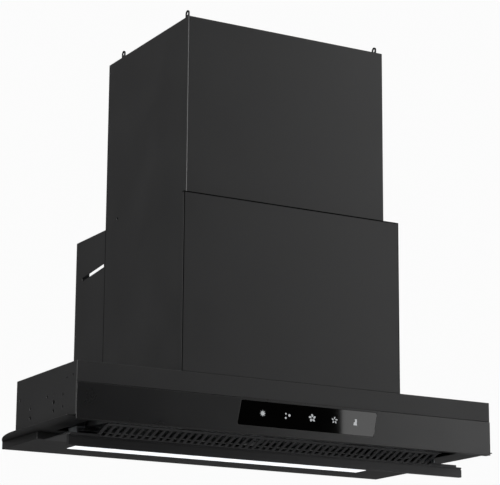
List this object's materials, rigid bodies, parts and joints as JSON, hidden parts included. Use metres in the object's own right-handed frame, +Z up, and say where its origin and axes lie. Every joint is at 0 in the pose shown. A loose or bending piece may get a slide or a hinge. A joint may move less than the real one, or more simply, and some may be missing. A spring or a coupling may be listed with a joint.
{
  "type": "built-in range hood",
  "caption": "Built-in range hood with a shallow wide canopy, slotted intake, light strip and a tall narrow body with a sleeve that telescopes.",
  "frame": {"origin": "middle of the footprint, level with the lowest edge of the intake bar", "axes": "+X to the hood's right seen from the front, +Y from the front to the wall, +Z up"},
  "size_m": [0.617, 0.35, 0.5725],
  "materials": {
    "black_enamel": "satin",
    "satin_black_trim": "satin",
    "black_glass": "gloss",
    "black_plastic": "matte",
    "grey_plastic": "matte",
    "circuit_board": "satin",
    "milk_diffuser": "satin",
    "spring_steel": "satin",
    "zinc_steel": "satin",
    "galvanised_sheet": "satin",
    "bright_steel": "polished",
    "motor_steel": "satin",
    "filter_aluminium": "satin",
    "capacitor_plastic": "satin"
  },
  "bodies": {
    "hood": {"blower_housing": "galvanised_sheet", "body_rear_wall": "galvanised_sheet", "body_top_plate": "galvanised_sheet", "body_wrapper": "black_enamel", "bottom_frame": "black_enamel", "cable_gland": "black_plastic", "canopy_shell": "black_enamel", "capacitor_strap": "zinc_steel", "collar_screws": "bright_steel", "control_glass": "black_glass", "cover_hooks": "zinc_steel", "electrics_box": "black_plastic", "electrics_lid": "black_plastic", "filter_frame_left": "filter_aluminium", "filter_frame_right": "filter_aluminium", "filter_mesh_left": "filter_aluminium", "filter_mesh_right": "filter_aluminium", "front_fascia": "black_enamel", "front_rail_left": "zinc_steel", "front_rail_right": "zinc_steel", "front_stay": "zinc_steel", "glass_holder": "black_plastic", "hinge_ear_left": "zinc_steel", "hinge_ear_right": "zinc_steel", "housing_brackets": "galvanised_sheet", "inlet_ring_left": "galvanised_sheet", "inlet_ring_right": "galvanised_sheet", "lamp_board": "circuit_board", "lamp_clips": "spring_steel", "lamp_diffuser": "milk_diffuser", "lid_screws": "bright_steel", "light_tray": "black_enamel", "lower_cover": "black_enamel", "magnet_catch_left": "zinc_steel", "magnet_catch_right": "zinc_steel", "motor": "motor_steel", "motor_arms": "zinc_steel", "outlet_collar": "black_plastic", "power_board": "circuit_board", "rear_rail_left": "zinc_steel", "rear_rail_right": "zinc_steel", "rear_stay": "zinc_steel", "run_capacitor": "capacitor_plastic", "side_plate_left": "black_enamel", "side_plate_right": "black_enamel", "touch_board": "circuit_board", "tray_screws": "bright_steel"},
    "sleeve": {"chimney_sleeve": "black_enamel"},
    "wheel": {"impeller_left": "grey_plastic", "impeller_right": "grey_plastic", "motor_axle": "bright_steel"},
    "front_flap": {"front_flap": "black_plastic"},
    "rear_flap": {"rear_flap": "black_plastic"},
    "panel": {"intake_panel": "black_enamel", "front_bar": "satin_black_trim", "hinge_pins": "zinc_steel", "striker_left": "zinc_steel", "striker_right": "zinc_steel"},
    "latch_left": {"filter_latch_left": "black_plastic"},
    "latch_right": {"filter_latch_right": "black_plastic"}
  },
  "joints": [
    {"name": "sleeve_lift", "type": "slide", "parent": "hood", "child": "sleeve", "axis": [0, 0, 1], "range_m": [0, 0.15]},
    {"name": "wheel_spin", "type": "hinge", "parent": "hood", "child": "wheel", "pos_m": [0, -0.067, 0.2095], "axis": [1, 0, 0], "continuous": true},
    {"name": "front_flap_hinge", "type": "hinge", "parent": "hood", "child": "front_flap", "pos_m": [0, -0.029, 0.3405], "axis": [-1, 0, 0], "range_deg": [0, 75]},
    {"name": "rear_flap_hinge", "type": "hinge", "parent": "hood", "child": "rear_flap", "pos_m": [0, -0.021, 0.3405], "axis": [1, 0, 0], "range_deg": [0, 75]},
    {"name": "panel_hinge", "type": "hinge", "parent": "hood", "child": "panel", "pos_m": [0, -0.041, 0.022], "axis": [1, 0, 0], "range_deg": [0, 75]},
    {"name": "latch_left_slide", "type": "slide", "parent": "hood", "child": "latch_left", "axis": [0, 1, 0], "range_m": [0, 0.008], "stiffness_N_per_m": 250, "springref_m": -0.004},
    {"name": "latch_right_slide", "type": "slide", "parent": "hood", "child": "latch_right", "axis": [0, 1, 0], "range_m": [0, 0.008], "stiffness_N_per_m": 250, "springref_m": -0.004}
  ]
}
